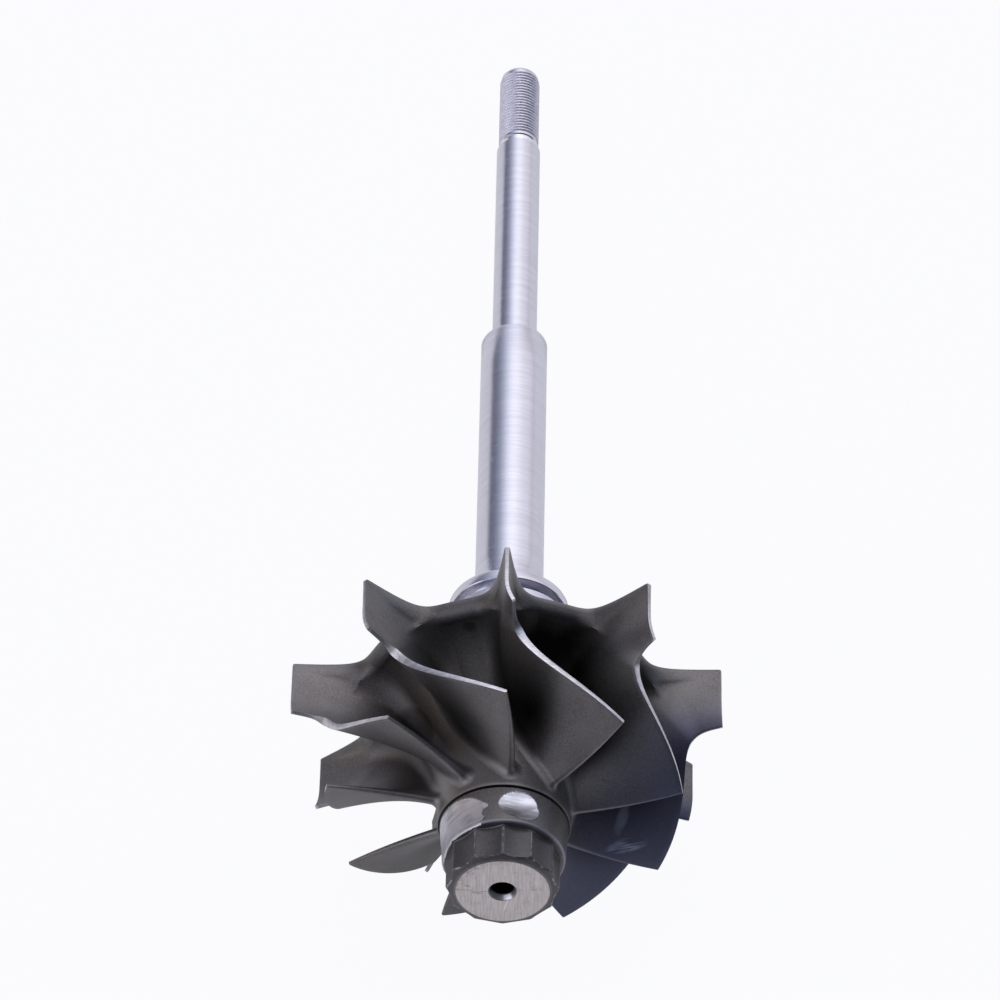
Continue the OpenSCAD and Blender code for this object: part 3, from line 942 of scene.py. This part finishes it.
def ground_steel():
    """Bright ground steel with fine rings round it; it is matt by the weld, shaded in the groove, and has a
    painted glint in the run-out groove
    """
    material, start, shader, seat = new_material("ground_steel")
    x, y, z = axes_of(seat)
    fine = drawn_out(start, x * 0.35, y * 0.35, z * 14, 3.0, 0.7)
    bands = drawn_out(start, x * 0.12, y * 0.12, z * 1.6, 3.0, 0.6)
    wear = drawn_out(start, x * 0.8, y * 0.8, z * 2.2, 4.0, 0.65)
    rings = (fine * 0.6 + bands * 0.4).step(0.3, 0.7)
    colour = rings.blend((0.7, 0.69, 0.745, 1), (0.84, 0.83, 0.88, 1))
    colour = (wear.step(0.6, 0.75) * 0.15).blend(colour, (0.6, 0.59, 0.64, 1))
    groove = z.step(GROOVE_START - 0.02, GROOVE_START + 0.06)
    groove = groove * (1 - z.step(GROOVE_END - 0.06, GROOVE_END + 0.02))
    colour = (groove * x.step(-4, 2)).blend(colour, (0.36, 0.37, 0.44, 1))
    matt = 1 - z.step(GROOVE_START - 0.2, GROOVE_START)
    # Painted highlight: a near-white glint across the run-out groove
    run_out = z.step(RUNOUT_START, RUNOUT_START + 0.1) * (1 - z.step(THREAD_START, THREAD_START + 0.15))
    colour = run_out.blend(colour, (0.98, 0.975, 1, 1))
    feed(start, shader, {
        "Base Color": colour,
        "Metallic": 1.0,
        "Roughness": 0.17 + fine * 0.08 + wear.step(0.5, 0.8) * 0.1 + matt * 0.22,
        "Normal": bump(start, fine * 0.8 + bands * 0.3, 0.25, 0.00003)})
    return material


def rolled_thread():
    """The ridges' skin: rolled, a little duller and paler than the ground bar"""
    material, start, shader, seat = new_material("rolled_thread")
    wear = seat.noise(1.6, 3.0, 0.6)
    feed(start, shader, {
        "Base Color": wear.step(0.35, 0.65).blend((0.72, 0.69, 0.78, 1), (0.84, 0.815, 0.9, 1)),
        "Metallic": 0.8,
        "Roughness": 0.4 + wear * 0.1,
        "Normal": bump(start, wear, 0.2, 0.00003)})
    return material


shaft.data.materials.append(ground_steel())
bpy.ops.object.shade_smooth_by_angle(angle=math.radians(30))
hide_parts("shaft")
lay_down(shaft)


# The nut's thread: fine rolled ridges, 0.5 mm apart, that fade out at both ends.
# One ridge's outline is wound up the core as a single helix.
THREAD_PITCH = 0.5
TURNS = 23
bpy.ops.object.select_all(action="DESELECT")
bpy.ops.mesh.primitive_circle_add(vertices=5, radius=1, fill_type="NOTHING")
thread = bpy.context.object
thread.name = "thread_ridges"
ridge = [(THREAD_CORE - 0.07, 0.01), (THREAD_CORE, 0.03), (THREAD_R, 0.19), (THREAD_R, 0.31),
         (THREAD_CORE, 0.47)]
for vertex, (r, up) in zip(thread.data.vertices, ridge):
    vertex.co = (r, 0, THREAD_START + 0.1 + up)
screw = thread.modifiers.new("winding", "SCREW")
screw.axis = "Z"
screw.angle = 2 * math.pi
screw.screw_offset = THREAD_PITCH
screw.iterations = TURNS
screw.steps = 64
screw.render_steps = 64
screw.use_merge_vertices = False
bpy.ops.object.modifier_apply(modifier="winding")
for vertex in thread.data.vertices:
    x, y, z = vertex.co
    r = math.hypot(x, y)
    climbed = (z - THREAD_START - 0.1) / THREAD_PITCH
    full = smooth(0, 0.7, climbed) * (1 - smooth(TURNS - 0.9, TURNS + 0.2, climbed))
    r_new = mix(min(r, THREAD_CORE - 0.05), r, full)
    vertex.co = (x * r_new / r, y * r_new / r, z)
bpy.ops.object.mode_set(mode="EDIT")
bpy.ops.mesh.select_all(action="DESELECT")
bpy.ops.mesh.select_non_manifold()
bpy.ops.mesh.edge_face_add()
bpy.ops.mesh.select_all(action="SELECT")
bpy.ops.mesh.normals_make_consistent(inside=False)
bpy.ops.object.mode_set(mode="OBJECT")
thread.data.materials.append(rolled_thread())
bpy.ops.object.shade_smooth_by_angle(angle=math.radians(25))
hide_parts("shaft")
lay_down(thread)


# The stage: a white bench, a room of soft light panels, and the camera above the nose.
# The bench and the backdrop look white to the camera, and polished metal sees the bench glow.
SEEN_WHITE = 0.97
SEEN_IN_METAL = 0.3
DIM = (0.1, 0.1, 0.15)
# Each panel: degrees to the right of the shaft's direction, height, tightness, and its light
ROOM_PANELS = [
    (0, 66, 9, (1.65, 1.6, 1.7)),  # overhead
    (-112, 36, 10, (1.55, 1.65, 1.95)),  # the window at the left, towards the camera
    (0, 10, 14, (0.8, 0.8, 0.95)),  # the wall straight behind the shaft
    (45, 10, 14, (0.6, 0.55, 0.6)),  # the same wall, farther right
    (22, 36, 10, (0.55, 0.55, 0.55)),  # above it
    (67, 36, 10, (0.45, 0.6, 0.85)),  # the upper right corner
    (-22, 36, 10, (0.2, 0.25, 0.35)),  # the upper left corner
    (-90, 10, 14, (0.45, 0.3, 0.1)),  # a warm glow, low at the left
    (-45, 10, 14, DIM), (90, 10, 12, DIM), (-150, 10, 12, DIM), (150, 10, 10, DIM)]
floor_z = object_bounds()[0][2]
bpy.ops.object.select_all(action="DESELECT")
bpy.ops.mesh.primitive_plane_add(size=3, location=(0, 0, floor_z - 0.00002))
bench = bpy.context.object
bench.name = "bench"
bench_white = bpy.data.materials.new("bench_white")
bench_white.use_nodes = True
tree = bench_white.node_tree
start = Wire(tree)
shader = tree.nodes["Principled BSDF"]
feed(start, shader, {"Base Color": (0.86, 0.86, 0.88, 1), "Roughness": 0.6})
path = start.add("ShaderNodeLightPath", out="Is Camera Ray")
glossy = Wire(tree, path.socket.node.outputs["Is Glossy Ray"])
glow = start.add("ShaderNodeEmission", None, {"Color": (0.98, 0.98, 1, 1), "Strength": 1.0})
both = start.add("ShaderNodeMixShader", None, {
    0: path * SEEN_WHITE + glossy * SEEN_IN_METAL,
    1: Wire(tree, shader.outputs[0]),
    2: glow})
tree.links.new(both.socket, tree.nodes["Material Output"].inputs["Surface"])
bench.data.materials.append(bench_white)

world = bpy.data.worlds.new("studio")
bpy.context.scene.world = world
world.use_nodes = True
tree = world.node_tree
start = Wire(tree)
way = start.add("ShaderNodeTexCoord", out="Generated")


def soft_panel(turn_right, height, tightness, colour):
    """Light from one soft panel, brightest at its middle"""
    a = math.radians(turn_right)
    e = math.radians(height)
    centre = (math.sin(a) * math.cos(e), math.cos(a) * math.cos(e), math.sin(e))
    facing = {"operation": "DOT_PRODUCT"}
    nearness = start.add("ShaderNodeVectorMath", facing, {0: way, 1: centre}, out="Value")
    falloff = nearness.math("MAXIMUM", 0.0).math("POWER", tightness)
    return start.add("ShaderNodeVectorMath", {"operation": "SCALE"}, {0: colour, "Scale": falloff})


room = soft_panel(*ROOM_PANELS[0])
for panel in ROOM_PANELS[1:]:
    lights = {0: room, 1: soft_panel(*panel)}
    room = start.add("ShaderNodeVectorMath", {"operation": "ADD"}, lights)
camera_ray = start.add("ShaderNodeLightPath", out="Is Camera Ray")
shown = camera_ray.blend(room, (1, 1, 1, 1))
tree.links.new(shown.socket, tree.nodes["Background"].inputs["Color"])
tree.nodes["Background"].inputs["Strength"].default_value = 1.0

bpy.ops.object.camera_add(
    location=(0.0059284, -0.2956787, 0.5695761), rotation=(0.5469957, 0.0020456, 0.0170633))
camera = bpy.context.object
camera.name = "camera"
camera.data.lens = 206.649
camera.data.sensor_width = 36
camera.data.clip_start = 0.01
camera.data.clip_end = 10
bpy.context.scene.camera = camera
bpy.context.scene.view_settings.view_transform = "Standard"
